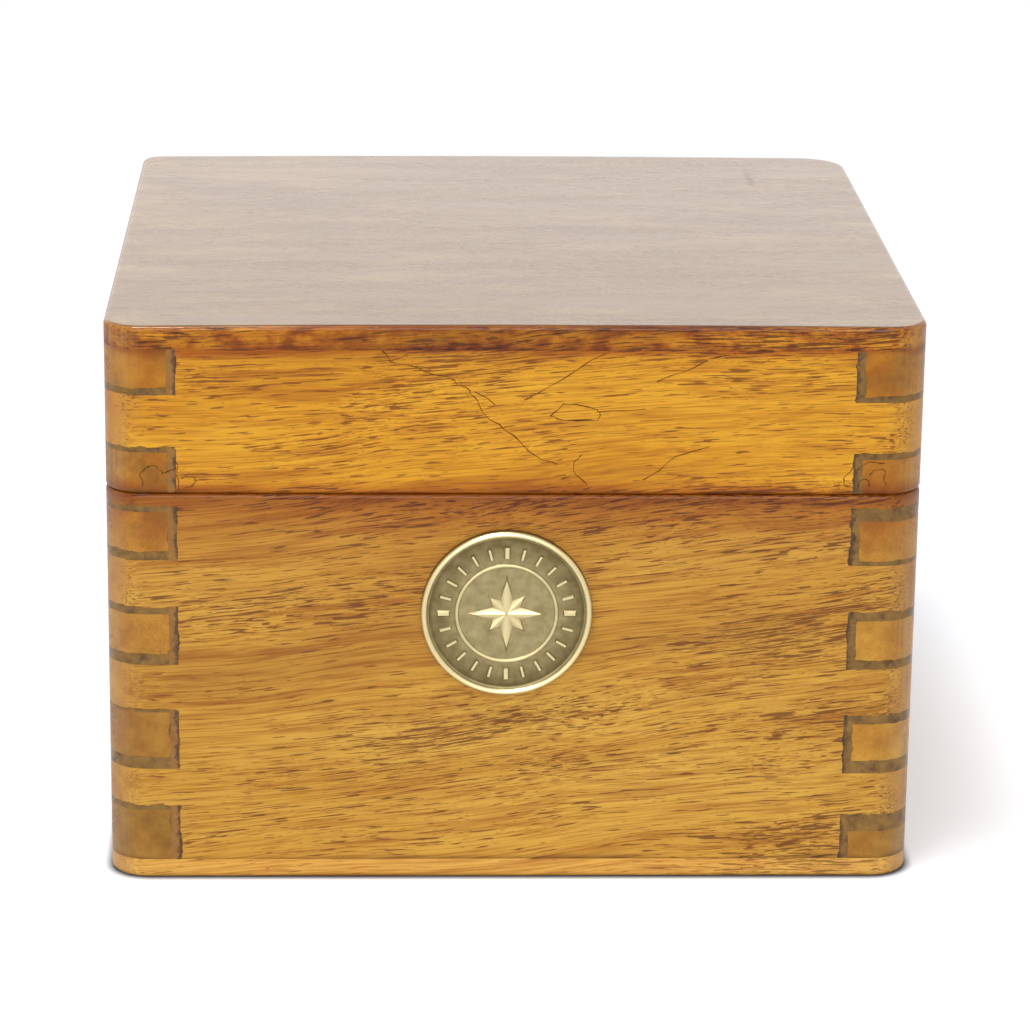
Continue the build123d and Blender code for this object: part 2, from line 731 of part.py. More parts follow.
# Lubber line: a thin strip on the bowl's inner wall, at the side away from the reader
with BuildPart() as lubber_line:
    with BuildSketch(Plane.XY.offset(glass_seat_z - lubber_length)):
        Circle(bowl_inner_radius)
        Circle(bowl_inner_radius - lubber_thickness, mode=Mode.SUBTRACT)
        with Locations((0, bowl_inner_radius)):
            Rectangle(lubber_width, bowl_inner_radius, mode=Mode.INTERSECT)
    extrude(amount=lubber_length)
save(lubber_line, "lubber_line")
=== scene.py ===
import bmesh
import bpy
from math import pi, radians
from mathutils import Matrix, Vector


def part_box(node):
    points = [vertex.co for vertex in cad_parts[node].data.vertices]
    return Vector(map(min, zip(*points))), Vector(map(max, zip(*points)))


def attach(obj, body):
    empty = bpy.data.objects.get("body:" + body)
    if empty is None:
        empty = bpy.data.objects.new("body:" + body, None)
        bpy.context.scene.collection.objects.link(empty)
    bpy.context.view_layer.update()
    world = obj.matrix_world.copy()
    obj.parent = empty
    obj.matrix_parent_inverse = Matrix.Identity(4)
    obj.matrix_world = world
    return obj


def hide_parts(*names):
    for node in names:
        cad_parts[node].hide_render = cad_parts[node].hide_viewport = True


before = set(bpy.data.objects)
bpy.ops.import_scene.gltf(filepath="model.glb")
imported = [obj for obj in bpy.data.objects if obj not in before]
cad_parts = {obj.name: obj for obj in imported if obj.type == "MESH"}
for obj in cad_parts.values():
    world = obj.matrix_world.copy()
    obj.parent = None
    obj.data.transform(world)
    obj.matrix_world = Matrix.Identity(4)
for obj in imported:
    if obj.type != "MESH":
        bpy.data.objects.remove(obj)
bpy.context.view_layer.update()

# Base of the case: a front and a back board, slotted at both ends, and two side boards whose
# fingers pass through those slots. Oiled tropical hardwood, stained amber and brush-varnished by
# hand, with dark open pores and long soft streaks that rise a little to the right.
MM = 1000.0
RAMP_TOP_MM = 110.0
GRAIN_RISE, FRONT_GRAIN_RISE = radians(4.0), radians(7.0)
GRAIN_BEND_MM = (0, 10, 10)
# Where slots, fingers and the filler's painted crevice shade start, and how far filler and stain wander
SLOT_START_MM = 61.8
FINGER_START_MM = 63.4
FINGER_SKIN_MM = 0.3
CREVICE_SHADE_MM = (62.5, 62.0)
FILLER_WANDER_MM = 1.6
SMEAR_WANDER_MM = (2.4, 0.0, 1.4)
STAIN_WANDER_MM = 1.8
RUBBED_CORNER_MM = (67.5, 73.5)
# How high up the pores crowd, by how much, and the levels of noise at which they open
MORE_PORES_MM, MORE_PORES = (36.0, 60.0), 0.028
DASH_LEVELS = (0.873, 0.903)
SPECK_LEVELS = (0.93, 0.97)
SIDE_GLOSS, CORNER_GLOSS = 0.35, 0.8
BASE_TONES = {"light": "#dcac47", "middle": "#cf9a38", "dark": "#bd8830", "pore": "#6e3c12"}
# Greyer tone laid in upright streaks on the rounded corners: partly wear, partly painted sheen
CORNER_WEAR_AND_SHEEN_TONE = "#b88b4f"
# Stains, as heights above the box's foot in millimetres and the colour that the wood is multiplied by
BASE_STAIN = [(3.2, "#7c6040"), (4.6, "#f8f7f4"), (20, "#f8f7f4"), (45, "#ffffff"), (66, "#f4e8dc"),
              (71.5, "#dfbf9f"), (74.5, "#b98c62")]
LEFT_STAIN = [(3.4, "#9c8f78"), (4.4, "#d2d3da"), (15, "#d2d3da"), (20, "#d6d0d6"), (34, "#d6d0d6"),
              (40, "#f3eeee"), (60, "#f3eeec"), (66, "#f4e8dc"), (71.5, "#dfbf9f"), (74.5, "#b98c62")]
RIGHT_STAIN = [(3.4, "#9c8f78"), (4.4, "#dfdfe6"), (13, "#dfdfe6"), (18, "#ffffff"), (60, "#ffffff"),
               (66, "#f4e8dc"), (71.5, "#dfbf9f"), (74.5, "#b98c62")]
# Where the slots start and end, and how far short of that each finger stays, above the box's foot
BASE_COMBS = {
    "left": [(3.7, 14.3, 0.0, 0.8), (21.7, 33.2, 2.3, 0.4), (42.1, 53.1, 1.8, 1.2),
             (62.3, 72.5, 1.3, 1.0)],
    "right": [(3.7, 12.4, 0.0, 3.3), (20.7, 32.1, 2.5, 1.6), (41.2, 52.3, 1.4, 1.6),
              (61.4, 72.2, 0.7, 2.3)],
}


def linear(colour):
    """Blender's linear colour for an sRGB hex value."""
    parts = [int(colour[n:n + 2], 16) / 255 for n in (1, 3, 5)]
    return (*[c / 12.92 if c <= 0.04045 else ((c + 0.055) / 1.055) ** 2.4 for c in parts], 1.0)


def add(tree, kind, inputs=(), stops=(), ramp="LINEAR", **settings):
    """Adds a shader node and returns its outputs. Inputs, by name or in order, are constants or other
    nodes' outputs. Stops are a colour ramp's places, with the colour or grey level at each."""
    made = tree.nodes.new("ShaderNode" + kind)
    for name, value in settings.items():
        setattr(made, name, value)
    for name, value in inputs.items() if isinstance(inputs, dict) else enumerate(inputs):
        if isinstance(value, bpy.types.NodeSocket):
            tree.links.new(value, made.inputs[name])
        else:
            made.inputs[name].default_value = linear(value) if isinstance(value, str) else value
    if stops:
        made.color_ramp.interpolation = ramp
        while len(made.color_ramp.elements) < len(stops):
            made.color_ramp.elements.new(1.0)
        for element, (place, tone) in zip(made.color_ramp.elements, stops):
            element.position = place
            element.color = linear(tone) if isinstance(tone, str) else (tone, tone, tone, 1.0)
    return made.outputs


# Settings of a Mix node that lays one colour on another, or multiplies it
LAID_ON = {"data_type": "RGBA"}
MULTIPLIED = {"data_type": "RGBA", "blend_type": "MULTIPLY"}


def grain_noise(tree, place, scale, stretch=(1, 1, 1), detail=2.0, rough=0.5):
    """Soft noise over a place in millimetres, with so many features a millimetre before stretching."""
    spread = add(tree, "VectorMath", [place, stretch], operation="MULTIPLY")[0]
    inputs = {"Vector": spread, "Scale": scale, "Detail": detail, "Roughness": rough}
    return add(tree, "TexNoise", inputs)


def start_material(name):
    """New empty material, and its tree."""
    material = bpy.data.materials.new(name)
    material.use_nodes = True
    material.node_tree.nodes.clear()
    return material, material.node_tree


def place_in_mm(tree):
    """The place of each point of the part, in millimetres."""
    place = add(tree, "TexCoord")["Object"]
    return add(tree, "VectorMath", [place, (MM, MM, MM)], operation="MULTIPLY")[0]


def finish_material(material, inputs, kind="BsdfPrincipled"):
    """Links a shader with those inputs to the material's output."""
    tree = material.node_tree
    add(tree, "OutputMaterial", [add(tree, kind, inputs)[0]])
    return material


def dress(material, *names):
    """Gives CAD nodes that finish."""
    for name in names:
        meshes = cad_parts[name].data
        meshes.materials.clear()
        meshes.materials.append(material)


def filler_tone(tree, place):
    """Colour and crumbs of the joint filler: sawdust in glue, olive brown, over a place in millimetres."""
    crumbs = grain_noise(tree, place, 0.5, detail=5.0, rough=0.6)["Fac"]
    colour = add(tree, "ValToRGB", [crumbs], [(0.34, "#5a3e12"), (0.44, "#78541c"), (0.62, "#8b6524")])[0]
    across = add(tree, "SeparateXYZ", [place])["X"]

    # Paler where it was worked in against the left fingers
    past_slot = add(tree, "Math", [across, -SLOT_START_MM], operation="LESS_THAN")[0]
    before_finger = add(tree, "Math", [across, -FINGER_START_MM], operation="GREATER_THAN")[0]
    worked_in = add(tree, "Math", [past_slot, before_finger], operation="MULTIPLY")[0]
    worked_in = add(tree, "Math", [worked_in, 0.55], operation="MULTIPLY")[0]
    colour = add(tree, "Mix", {0: worked_in, 6: colour, 7: "#a0692a"}, **LAID_ON)[2]

    # Painted shade: a dark ragged line near the ends of the slots, for the shade in a crevice where
    # the filler shrank
    ragged = grain_noise(tree, place, 0.7, detail=3.0, rough=0.6)["Fac"]
    ragged = add(tree, "MapRange", {0: ragged, "To Min": -FILLER_WANDER_MM, "To Max": FILLER_WANDER_MM})[0]
    reach = add(tree, "Math", [across], operation="ABSOLUTE")[0]
    reach = add(tree, "Math", [reach, ragged], operation="ADD")[0]
    crevice_shade = {0: reach, "From Min": CREVICE_SHADE_MM[0], "From Max": CREVICE_SHADE_MM[1], "To Max": 0.8}
    crevice_shade = add(tree, "MapRange", crevice_shade)[0]
    colour = add(tree, "Mix", {0: crevice_shade, 6: colour, 7: "#3e260e"}, **LAID_ON)[2]

    # Scattered pale and dark bits of sawdust
    bits = grain_noise(tree, place, 1.5)["Fac"]
    pale_bits = add(tree, "ValToRGB", [bits], [(0.27, 0.5), (0.31, 0.0)])[0]
    colour = add(tree, "Mix", {0: pale_bits, 6: colour, 7: "#a98344"}, **LAID_ON)[2]
    dark_bits = add(tree, "ValToRGB", [bits], [(0.7, 0.0), (0.74, 0.7)])[0]
    return add(tree, "Mix", {0: dark_bits, 6: colour, 7: "#3e260e"}, **LAID_ON)[2], crumbs


def in_combs(tree, level, sideways, combs, shrink):
    """1 where a height lies in the slots of the side that sideways points to, or in their fingers if
    shrunk. The height is a share of the ramps' own."""
    found = []
    for side in ("left", "right"):
        stops = [(0.0, 0.0)]
        for low, high, under, over in combs[side]:
            stops.append(((low + under * shrink) / RAMP_TOP_MM, 1.0))
            stops.append(((high - over * shrink) / RAMP_TOP_MM, 0.0))
        found.append(add(tree, "ValToRGB", [level], stops, "CONSTANT")[0])
    right = add(tree, "Math", [sideways, 0.0], operation="GREATER_THAN")[0]
    return add(tree, "Mix", {0: right, 6: found[0], 7: found[1]}, **LAID_ON)[2]


def joint_smear(tree, place, combs, fingers):
    """Where filler smeared past the edges of the joints, with a hand-worked edge: over a side board's
    fingers, or over the wood round a cross board's slots. Place is in millimetres."""
    ragged = grain_noise(tree, place, 0.3, detail=3.0, rough=0.6)["Color"]
    ragged = add(tree, "VectorMath", [ragged, (0.5, 0.5, 0.5)], operation="SUBTRACT")[0]
    ragged = add(tree, "VectorMath", [ragged, SMEAR_WANDER_MM], operation="MULTIPLY")[0]
    worked = add(tree, "VectorMath", [place, ragged], operation="ADD")[0]
    worked = add(tree, "SeparateXYZ", [worked])
    true_place = add(tree, "SeparateXYZ", [place])
    level = add(tree, "Math", [worked["Z"], RAMP_TOP_MM], operation="DIVIDE")[0]
    inside = in_combs(tree, level, true_place["X"], combs, shrink=1.0 if fingers else 0.0)
    across = add(tree, "Math", [worked["X"]], operation="ABSOLUTE")[0]
    start = FINGER_START_MM if fingers else SLOT_START_MM
    beyond = add(tree, "Math", [across, start], operation="GREATER_THAN")[0]
    covered = add(tree, "Math", [inside, beyond], operation="MULTIPLY")[0]
    if fingers:
        depth = add(tree, "Math", [true_place["Y"]], operation="ABSOLUTE")[0]
        in_joint = add(tree, "Math", [depth, FINGER_START_MM + FINGER_SKIN_MM], operation="GREATER_THAN")[0]
        pads = grain_noise(tree, place, 0.13, detail=4.0, rough=0.6)["Fac"]
        pads = add(tree, "MapRange", {0: pads, "From Min": 0.52, "From Max": 0.66, "To Max": 0.45})[0]
        covered = add(tree, "Math", [1.0, covered], operation="SUBTRACT")[0]
        covered = add(tree, "Math", [covered, pads], operation="MAXIMUM")[0]
        covered = add(tree, "Math", [covered, in_joint], operation="MULTIPLY")[0]
    return covered


def varnished_wood(name, along, tones, stain, combs=None, gloss=SIDE_GLOSS, shaded_top_tone=None, rise=GRAIN_RISE,
                   mottle=0.0):
    """Stained hardwood under brushed varnish, cut from solid, so that end grain shows where it should.
    The stain multiplies the wood by height. Along is the axis of the grain."""
    material, tree = start_material(name)
    place = place_in_mm(tree)
    turn = {"X": (0, rise, 0), "Y": (rise, 0, -pi / 2)}[along]
    grain = add(tree, "Mapping", {"Vector": place, "Rotation": turn})[0]
    bend = grain_noise(tree, grain, 0.03, (0.35, 1, 1))["Color"]
    bend = add(tree, "VectorMath", [bend, (0.5, 0.5, 0.5)], operation="SUBTRACT")[0]
    bend = add(tree, "VectorMath", [bend, GRAIN_BEND_MM], operation="MULTIPLY")[0]
    fibre = add(tree, "VectorMath", [grain, bend], operation="ADD")[0]
    sides = add(tree, "SeparateXYZ", [place])

    # Broad bands of growth, soft streaks in them, and hair-fine fibres
    bands = grain_noise(tree, fibre, 0.06, (0.14, 1, 1), detail=3.0)["Fac"]
    growth = [(0.32, tones["dark"]), (0.45, tones["middle"]), (0.62, tones["light"])]
    colour = add(tree, "ValToRGB", [bands], growth)[0]
    streaks = grain_noise(tree, fibre, 0.5, (0.04, 1, 1), detail=4.0, rough=0.6)["Fac"]
    streaks = add(tree, "ValToRGB", [streaks], [(0.36, "#d0ae90"), (0.48, "#ffffff")])[0]
    colour = add(tree, "Mix", {0: 0.6, 6: colour, 7: streaks}, **MULTIPLIED)[2]
    fibres = grain_noise(tree, fibre, 3.0, (0.02, 1, 1), detail=3.0)["Fac"]
    fibres = add(tree, "ValToRGB", [fibres], [(0.36, "#cfb090"), (0.56, "#ffffff")])[0]
    colour = add(tree, "Mix", {0: 0.7, 6: colour, 7: fibres}, **MULTIPLIED)[2]

    # Open pores: crisp dark dashes 1 to 8 mm long and a third of a millimetre high, and specks between
    # them, crowded into drifts and closer together higher up
    drifts = grain_noise(tree, fibre, 0.1, (0.16, 1, 1))["Fac"]
    drifts = add(tree, "Math", [drifts, 0.5], operation="MULTIPLY")[0]
    higher = {0: sides["Z"], "From Min": MORE_PORES_MM[0], "From Max": MORE_PORES_MM[1]}
    higher = add(tree, "MapRange", higher | {"To Max": MORE_PORES})[0]
    crowded = add(tree, "Math", [drifts, higher], operation="ADD")[0]
    dashes = grain_noise(tree, fibre, 3.2, (0.05, 1, 1), detail=1.0)["Fac"]
    dashes = add(tree, "Math", [dashes, crowded], operation="ADD")[0]
    dashes = add(tree, "MapRange", {0: dashes, "From Min": DASH_LEVELS[0], "From Max": DASH_LEVELS[1]})[0]
    specks = grain_noise(tree, fibre, 5.5, (0.12, 1, 1), detail=1.0)["Fac"]
    specks = add(tree, "Math", [specks, crowded], operation="ADD")[0]
    specks = {0: specks, "From Min": SPECK_LEVELS[0], "From Max": SPECK_LEVELS[1], "To Max": 0.7}
    specks = add(tree, "MapRange", specks)[0]
    pores = add(tree, "Math", [dashes, specks], operation="MAXIMUM")[0]
    dark = add(tree, "Math", [pores, 0.85], operation="MULTIPLY")[0]
    colour = add(tree, "Mix", {0: dark, 6: colour, 7: tones["pore"]}, **LAID_ON)[2]

    # End grain drinks more stain: smoother, browner and blotched
    facing = add(tree, "SeparateXYZ", [add(tree, "TexCoord")["Normal"]])
    end_on = add(tree, "Math", [facing[along]], operation="ABSOLUTE")[0]
    end_on = add(tree, "ValToRGB", [end_on], [(0.35, 0.0), (0.8, 1.0)])[0]
    soaked = grain_noise(tree, place, 0.16, detail=3.0, rough=0.6)["Fac"]
    soaked = add(tree, "ValToRGB", [soaked], [(0.38, "#dcc8b4"), (0.52, "#f0e4da"), (0.66, "#ffffff")])[0]
    end_colour = add(tree, "Mix", {0: 0.75, 6: colour, 7: tones["middle"]}, **LAID_ON)[2]
    end_colour = add(tree, "Mix", {0: 1.0, 6: end_colour, 7: soaked}, **MULTIPLIED)[2]
    colour = add(tree, "Mix", {0: end_on, 6: colour, 7: end_colour}, **LAID_ON)[2]
    if mottle:
        uneven = grain_noise(tree, place, 0.35, (0.6, 1, 1), detail=5.0, rough=0.65)["Fac"]
        stops = [(0.38, "#a4703a"), (0.48, "#e2c49c"), (0.56, "#ffffff")]
        uneven = add(tree, "ValToRGB", [uneven], stops)[0]
        edgeways = add(tree, "Math", [facing["Z"]], operation="ABSOLUTE")[0]
        edgeways = add(tree, "MapRange", {0: edgeways, "To Min": mottle, "To Max": 0.0})[0]
        colour = add(tree, "Mix", {0: edgeways, 6: colour, 7: uneven}, **MULTIPLIED)[2]

    # The lid's top: upward faces washed flat and darkened to a set tone, which is painted shade;
    # glossier, and with one long faint dent that dulls the gloss
    if shaded_top_tone:
        upward = add(tree, "ValToRGB", [facing["Z"]], [(0.75, 0.0), (0.97, 1.0)])[0]
        shaded_top = add(tree, "Mix", {0: 0.75, 6: colour, 7: "#ffffff"}, **LAID_ON)[2]
        shaded_top = add(tree, "Mix", {0: 1.0, 6: shaded_top, 7: shaded_top_tone}, **MULTIPLIED)[2]
        colour = add(tree, "Mix", {0: upward, 6: colour, 7: shaded_top}, **LAID_ON)[2]
        rounded = add(tree, "ValToRGB", [facing["Z"]], [(0.2, 0.0), (0.7, 1.0)])[0]
        gloss = add(tree, "MapRange", {0: rounded, "To Min": SIDE_GLOSS, "To Max": gloss})[0]
        dent = {"Vector": place, "Location": DENT_MM, "Rotation": DENT_TURN, "Scale": DENT_SIZE_MM}
        dent = add(tree, "Mapping", dent, vector_type="TEXTURE")[0]
        dent = add(tree, "TexGradient", [dent], gradient_type="SPHERICAL")["Fac"]
        dulled = add(tree, "MapRange", {0: dent, "To Min": 1.0, "To Max": DENT_GLOSS})[0]
        gloss = add(tree, "Math", [gloss, dulled], operation="MULTIPLY")[0]

    # Corners rubbed down by hand: glossier, and laid with a greyer tone in upright streaks that is
    # partly wear and partly painted sheen
    wide = add(tree, "Math", [sides["X"]], operation="ABSOLUTE")[0]
    deep = add(tree, "Math", [sides["Y"]], operation="ABSOLUTE")[0]
    corner = add(tree, "Math", [wide, deep], operation="MINIMUM")[0]
    corner = {0: corner, "From Min": RUBBED_CORNER_MM[0], "From Max": RUBBED_CORNER_MM[1]}
    corner = add(tree, "MapRange", corner)[0]
    upright = grain_noise(tree, place, 1.2, (1, 1, 0.03), detail=3.0)["Fac"]
    upright = add(tree, "ValToRGB", [upright], [(0.42, 0.15), (0.58, 0.7)])[0]
    rubbed = add(tree, "Math", [corner, upright], operation="MULTIPLY")[0]
    colour = add(tree, "Mix", {0: rubbed, 6: colour, 7: CORNER_WEAR_AND_SHEEN_TONE}, **LAID_ON)[2]
    corner_gloss = add(tree, "Math", [corner, CORNER_GLOSS], operation="MULTIPLY")[0]
    gloss = add(tree, "Math", [gloss, corner_gloss], operation="MAXIMUM")[0]

    # Stain by height, with an uneven brushed edge
    wander = grain_noise(tree, grain, 0.12, (0.35, 1, 1))["Fac"]
    wander = add(tree, "MapRange", {0: wander, "To Min": -STAIN_WANDER_MM, "To Max": STAIN_WANDER_MM})[0]
    level = add(tree, "Math", [sides["Z"], wander], operation="ADD")[0]
    level = add(tree, "Math", [level, RAMP_TOP_MM], operation="DIVIDE")[0]
    stained = add(tree, "ValToRGB", [level], [(height / RAMP_TOP_MM, tone) for height, tone in stain])[0]
    colour = add(tree, "Mix", {0: 1.0, 6: colour, 7: stained}, **MULTIPLIED)[2]
    if combs:
        smear = joint_smear(tree, place, combs, fingers=along == "Y")
        colour = add(tree, "Mix", {0: smear, 6: colour, 7: filler_tone(tree, place)[0]}, **LAID_ON)[2]

    # Varnish: a clear coat, slightly wavy from the brush, that sinks a little over the pores
    brushed = grain_noise(tree, grain, 0.22, (0.12, 1, 1))["Fac"]
    sunk = add(tree, "Math", [pores, 0.3], operation="MULTIPLY")[0]
    relief = add(tree, "Math", [brushed, sunk], operation="SUBTRACT")[0]
    bump = add(tree, "Bump", {"Strength": 0.3, "Distance": 0.00012, "Height": relief})[0]
    inputs = {"Base Color": colour, "Roughness": 0.5, "Specular IOR Level": 0.05, "Normal": bump}
    inputs |= {"Coat Normal": bump, "Coat Weight": gloss, "Coat Roughness": 0.09, "Coat IOR": 1.5}
    return finish_material(material, inputs)


# The front and back are amber with long rising streaks. The sides are a little greyer, and more so
# towards the foot.
base_cross_wood = varnished_wood("base_board_varnished_hardwood", "X", BASE_TONES, BASE_STAIN, BASE_COMBS,
                                 rise=FRONT_GRAIN_RISE)
base_left_wood = varnished_wood("base_left_varnished_hardwood", "Y", BASE_TONES, LEFT_STAIN, BASE_COMBS)
base_right_wood = varnished_wood("base_right_varnished_hardwood", "Y", BASE_TONES, RIGHT_STAIN, BASE_COMBS)
dress(base_cross_wood, "base_front_board", "base_back_board")
dress(base_left_wood, "base_left_board")
dress(base_right_wood, "base_right_board")

# Bottom board: a thin panel glued under the walls, of a paler piece of the same wood.
BOTTOM_TONES = {"light": "#e6b65a", "middle": "#dba346", "dark": "#c48c36", "pore": "#8a5a22"}
bottom_wood = varnished_wood("bottom_board_varnished_hardwood", "X", BOTTOM_TONES, [(0, "#ffffff")])
dress(bottom_wood, "base_bottom_board")

# Wood filler: sawdust and glue pressed into what the hand-cut joints left open, then stained and
# varnished with the wood. It stays olive brown and a little crumbly.
filler_material, filler_tree = start_material("stained_wood_filler")
filler_colour, filler_crumbs = filler_tone(filler_tree, place_in_mm(filler_tree))
filler_bump = add(filler_tree, "Bump", {"Strength": 0.5, "Distance": 0.0002, "Height": filler_crumbs})[0]
filler_inputs = {"Base Color": filler_colour, "Roughness": 0.6, "Specular IOR Level": 0.1,
                 "Normal": filler_bump}
finish_material(filler_material, filler_inputs | {"Coat Weight": 0.6, "Coat Roughness": 0.2})
dress(filler_material, "base_joint_filler", "lid_joint_filler")

# Lid: four boards and a top panel, of a yellower piece of the wood and varnished more heavily.
# The top panel's edge and the rim over the seam took up more stain. The top itself is painted a
# flat darker shade and shines, but for one long faint dent at its right.
LID_TONES = {"light": "#ebae2b", "middle": "#de9b1f", "dark": "#c78416", "pore": "#7c4208"}
LID_SIDE_TONES = {"light": "#cf8f28", "middle": "#c0801d", "dark": "#a86c15", "pore": "#7c4a0e"}
LID_STAIN = [(74.6, "#9a6c46"), (76.0, "#dcbf9c"), (78, "#ffffff"), (100.8, "#ffffff"), (102, "#d9b48c")]
LID_COMBS = {
    "left": [(73.0, 83.5, 0.0, 0.7), (93.6, 104.0, 1.1, 0.0)],
    "right": [(73.0, 82.6, 0.0, 0.9), (92.5, 104.0, 1.0, 0.0)],
}
TOP_TONES = {"light": "#dd981f", "middle": "#cb8414", "dark": "#aa6b0a", "pore": "#5f3406"}
TOP_STAIN = [(101.5, "#b98e60"), (103.2, "#ffffff"), (105.2, "#ffffff"), (106.6, "#c9a070")]
# The tone that the top's upward faces are darkened to is painted shade
TOP_SHADE_TONE, TOP_GLOSS, TOP_MOTTLE = "#9a7c2e", 0.8, 0.8
DENT_MM = (53.4, 52.0, 106.0)
DENT_SIZE_MM = (0.9, 16.0, 4.0)
DENT_TURN = (0, 0, radians(2.0))
DENT_GLOSS = 0.7
lid_cross_wood = varnished_wood("lid_board_varnished_hardwood", "X", LID_TONES, LID_STAIN, LID_COMBS)
lid_side_wood = varnished_wood("lid_side_varnished_hardwood", "Y", LID_SIDE_TONES, LID_STAIN, LID_COMBS)
lid_top_wood = varnished_wood("lid_top_varnished_hardwood", "X", TOP_TONES, TOP_STAIN, gloss=TOP_GLOSS,
                              shaded_top_tone=TOP_SHADE_TONE, mottle=TOP_MOTTLE)
dress(lid_cross_wood, "lid_front_board", "lid_back_board")
dress(lid_side_wood, "lid_left_board", "lid_right_board")
dress(lid_top_wood, "lid_top_board")

# Cracks in the lid's varnish: fine lines that ran through the coat on the front board as the wood
# moved, filled with dark polish; and dark lines at the edges of a few varnish runs low at its
# corners, which are painted shade.
# The lines are places (across, up) on the board; each is jagged and swells a little as it runs.
CRACK_MM = 0.1
CRACK_JAG_MM = (0.25, -0.3, 0.15, -0.2, 0.35)
CRACK_SWELL = (1.3, 0.6, 1.0, 0.4, 0.8, 1.2, 0.5)
CRACKS_MM = [
    [(-24.4, 102.0), (-23.0, 100.0), (-19.1, 99.3), (-16.7, 98.1), (-12.6, 97.2), (-10.8, 95.7),
     (-8.5, 94.7), (-7.6, 93.4), (-6.7, 91.6), (-4.8, 89.1), (-2.1, 87.2), (0.7, 85.0), (4.8, 81.6),
     (7.5, 80.8)],
    [(-23.2, 100.1), (-21.4, 100.6), (-19.9, 101.4)],
    [(-7.6, 94.4), (-3.9, 92.0)],
    [(11.9, 82.6), (10.6, 81.2), (11.0, 78.7), (13.1, 76.8)],
    [(23.2, 77.8), (26.3, 79.7), (29.1, 82.3), (35.4, 84.2)],
    [(1.5, 92.9), (4.2, 94.4), (7.8, 96.5), (10.9, 98.6), (13.6, 100.5), (16.7, 102.0)],
    [(25.4, 96.4), (27.8, 97.5), (31.4, 98.7), (34.9, 100.7), (37.7, 101.4)],
    [(6.1, 89.9), (8.6, 92.2), (10.6, 92.1), (14.7, 91.1), (15.1, 90.7), (14.7, 89.0), (11.0, 89.0),
     (7.3, 89.4), (6.1, 89.9)],
    [(15.1, 90.7), (19.2, 90.9), (23.4, 91.3)],
]
# Dark lines round the edges of varnish runs: painted shade of the runs' rims; the runs are not drawn
RUN_EDGE_SHADE_MM = [
    [(-67.9, 76.6), (-68.3, 78.2), (-68.1, 79.1), (-67.4, 79.9), (-66.1, 80.4), (-65.1, 79.6),
     (-64.3, 78.9), (-63.2, 79.3), (-62.4, 79.6), (-61.4, 79.9)],
    [(-62.0, 81.2), (-61.5, 79.8), (-61.6, 78.2), (-61.4, 76.6), (-61.2, 75.7)],
    [(-60.9, 77.9), (-60.0, 78.5), (-58.7, 78.3), (-58.3, 77.2), (-59.2, 76.2), (-60.6, 76.1)],
    [(61.8, 81.4), (61.3, 79.5), (60.0, 78.2), (60.1, 77.0), (61.3, 76.6)],
    [(62.5, 79.8), (63.3, 80.6), (64.5, 81.3), (66.0, 81.2), (67.6, 81.1)],
    [(62.7, 76.6), (62.8, 77.6), (63.7, 78.1), (64.8, 77.6), (65.0, 76.5)],
    [(64.8, 78.9), (65.5, 79.8), (67.0, 80.0), (67.8, 79.3), (67.4, 77.7), (67.8, 76.6)],
]


def keep(name, body, material, mesh):
    """Makes a finished mesh a piece that rides on a body and takes its finish from a slot."""
    piece = bpy.data.objects.new(name, mesh)
    bpy.context.scene.collection.objects.link(piece)
    mesh.materials.append(material)
    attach(piece, body)
    return piece


def mesh_of(curve_or_text):
    """The mesh of a curve or text, which is then deleted."""
    maker = bpy.data.objects.new("maker", curve_or_text)
    bpy.context.scene.collection.objects.link(maker)
    bpy.context.view_layer.update()
    mesh = bpy.data.meshes.new_from_object(maker.evaluated_get(bpy.context.evaluated_depsgraph_get()))
    bpy.data.objects.remove(maker)
    return mesh


# One dark brown serves the dirt in the cracks and the painted shade along the run edges
crack_dirt_and_run_shade_material, crack_tree = start_material("crack_dirt_and_run_edge_shade")
crack_fade = grain_noise(crack_tree, place_in_mm(crack_tree), 0.35)["Fac"]
crack_dirt_and_run_shade_colour = add(crack_tree, "ValToRGB", [crack_fade], [(0.35, "#4c280a"), (0.6, "#7c4a16")])[0]
finish_material(crack_dirt_and_run_shade_material, {"Base Color": crack_dirt_and_run_shade_colour, "Roughness": 0.5, "Specular IOR Level": 0.1})
lid_front_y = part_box("lid_front_board")[0].y
crack_and_run_shade_line = bpy.data.curves.new("cracks", "CURVE")
crack_and_run_shade_line.dimensions = "3D"
crack_and_run_shade_line.bevel_depth = CRACK_MM / MM
crack_and_run_shade_line.bevel_resolution = 1
crack_and_run_shade_line.use_fill_caps = True
for points in CRACKS_MM + RUN_EDGE_SHADE_MM:
    jagged = [points[0]]
    for n, ((x, z), (next_x, next_z)) in enumerate(zip(points, points[1:])):
        step = CRACK_JAG_MM[n % len(CRACK_JAG_MM)]
        jagged += [((x + next_x) / 2 + step, (z + next_z) / 2 + step / 2), (next_x, next_z)]
    spline = crack_and_run_shade_line.splines.new("POLY")
    spline.points.add(len(jagged) - 1)
    for place, (point, (x, z)) in enumerate(zip(spline.points, jagged)):
        point.co = (x / MM, lid_front_y, z / MM, 1.0)
        point.radius = CRACK_SWELL[place % len(CRACK_SWELL)]
keep("lid_varnish_cracks_and_run_shade", "lid", crack_dirt_and_run_shade_material, mesh_of(crack_and_run_shade_line))

